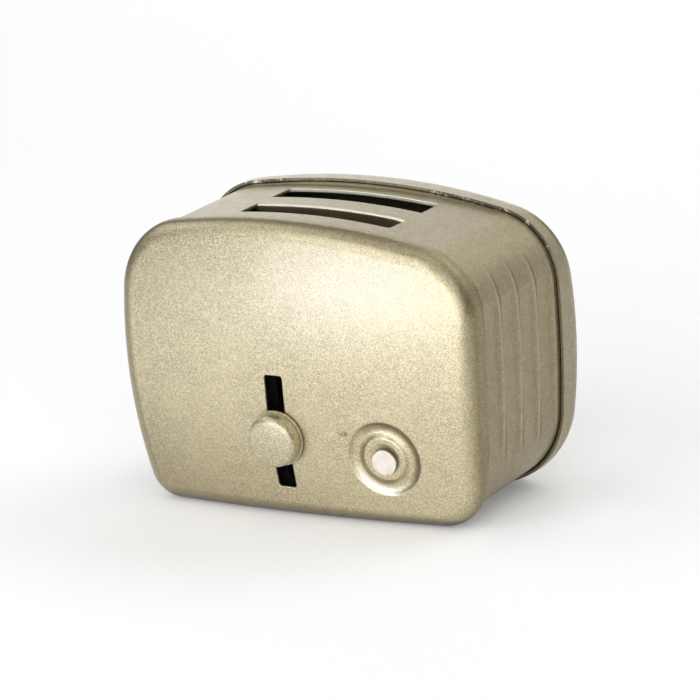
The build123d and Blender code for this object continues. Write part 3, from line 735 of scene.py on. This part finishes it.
FLOOR_HALF_SIZE = 1.5
FLOOR_GLOW = 0.17
WORLD_GLOW = 0.05
LAMP_DISTANCE = 0.6
LAMP_AIM = Vector((0, 0, 0.02))
SMALL_LAMP = 0.13
LARGE_LAMP = 0.36
FRONT_LAMP = 0.4
DAYLIGHT = (0.80, 0.835, 1.0)
WHITE = (1.0, 1.0, 1.0)

# Name, azimuth and elevation in degrees, side in metres, radiance and colour of each square lamp
LAMPS = [
    ("key_lamp", -25, 3, SMALL_LAMP, 10.4, DAYLIGHT),
    ("side_key_lamp", -12, 10, SMALL_LAMP, 2.2, DAYLIGHT),
    ("front_lamp", 8, 8, FRONT_LAMP, 2.9, WHITE),
    ("front_right_lamp", 38, 10, LARGE_LAMP, 1.8, WHITE),
    ("high_front_lamp", 45, 45, LARGE_LAMP, 1.2, WHITE),
    ("high_front_left_lamp", -25, 38, LARGE_LAMP, 2.3, WHITE),
    ("high_left_lamp", -90, 45, LARGE_LAMP, 1.6, WHITE),
    ("back_left_lamp", -150, 14, LARGE_LAMP, 1.9, WHITE),
    ("back_right_lamp", 140, 14, LARGE_LAMP, 0.85, WHITE),
    ("high_back_right_lamp", 140, 45, LARGE_LAMP, 1.9, WHITE),
    ("back_lamp", 180, 50, LARGE_LAMP, 1.55, WHITE),
    ("top_lamp", 0, 89, LARGE_LAMP, 1.0, WHITE),
]


def background_rays(tree):
    """1 for the rays that show the background: seen straight, in a gloss or through glass."""
    path = add_node(tree, "ShaderNodeLightPath")
    seen = maths(tree, "MAXIMUM", path.outputs["Is Camera Ray"], path.outputs["Is Glossy Ray"])
    return maths(tree, "MAXIMUM", seen, path.outputs["Is Transmission Ray"])


def make_floor():
    """White floor that glows a little, so that it looks white behind the toaster's soft shadow."""
    form = bmesh.new()
    bmesh.ops.create_grid(form, x_segments=1, y_segments=1, size=FLOOR_HALF_SIZE)
    mesh = bpy.data.meshes.new("floor")
    form.to_mesh(mesh)
    form.free()
    floor = bpy.data.objects.new("floor", mesh)
    bpy.context.collection.objects.link(floor)
    material, tree, shader = new_material("white_floor", Base_Color=(0.9, 0.9, 0.9, 1.0), Roughness=0.9,
                                          Specular_IOR_Level=0.1, Emission_Color=(1.0, 1.0, 1.0, 1.0))
    tree.links.new(times(tree, background_rays(tree), FLOOR_GLOW), shader.inputs["Emission Strength"])
    mesh.materials.append(material)


def make_world():
    world = bpy.data.worlds.new("studio")
    world.use_nodes = True
    background = world.node_tree.nodes["Background"]
    background.inputs["Color"].default_value = (0.9, 0.9, 0.9, 1.0)
    background.inputs["Strength"].default_value = WORLD_GLOW
    bpy.context.scene.world = world


def softbox(name, azimuth, elevation, size, radiance, colour):
    """Square soft lamp that faces the toaster; radiance is how bright its face looks."""
    lamp = bpy.data.lights.new(name, "AREA")
    lamp.shape = "SQUARE"
    lamp.size = size
    lamp.energy = radiance * math.pi * size**2
    lamp.color = colour
    holder = bpy.data.objects.new(name, lamp)
    bpy.context.collection.objects.link(holder)
    out = direction(azimuth, elevation)
    turn = (-out).to_track_quat("-Z", "Y").to_matrix().to_4x4()
    holder.matrix_world = Matrix.Translation(LAMP_AIM + out * LAMP_DISTANCE) @ turn


def make_camera():
    """Camera at the photograph's viewing angle, fitted to the outline, the slots and the dial."""
    azimuth = 33.1944
    elevation = 15.2694
    roll = math.radians(-4.2766)
    distance = 0.9448
    centre = Vector((0, 1.23, 20.0)) * MM
    shift_right = -0.0707 * MM
    shift_up = -0.1245 * MM
    focal_pixels = 6947.48
    photo_pixels = 700
    sensor = 36
    back = direction(azimuth, elevation)
    level = Vector((0, 0, 1)).cross(back).normalized()
    upright = back.cross(level)
    right = level * math.cos(roll) + upright * math.sin(roll)
    up = upright * math.cos(roll) - level * math.sin(roll)
    camera = bpy.data.cameras.new("camera")
    camera.sensor_width = sensor
    camera.lens = focal_pixels * sensor / photo_pixels
    camera.clip_start = 0.05
    camera.clip_end = 10
    holder = bpy.data.objects.new("camera", camera)
    bpy.context.collection.objects.link(holder)
    place = centre + right * shift_right + up * shift_up + back * distance
    turn = Matrix((right, up, back)).transposed().to_4x4()
    holder.matrix_world = Matrix.Translation(place) @ turn
    bpy.context.scene.camera = holder


make_floor()
make_world()
for lamp_values in LAMPS:
    softbox(*lamp_values)
make_camera()
bpy.context.scene.view_settings.view_transform = "Standard"
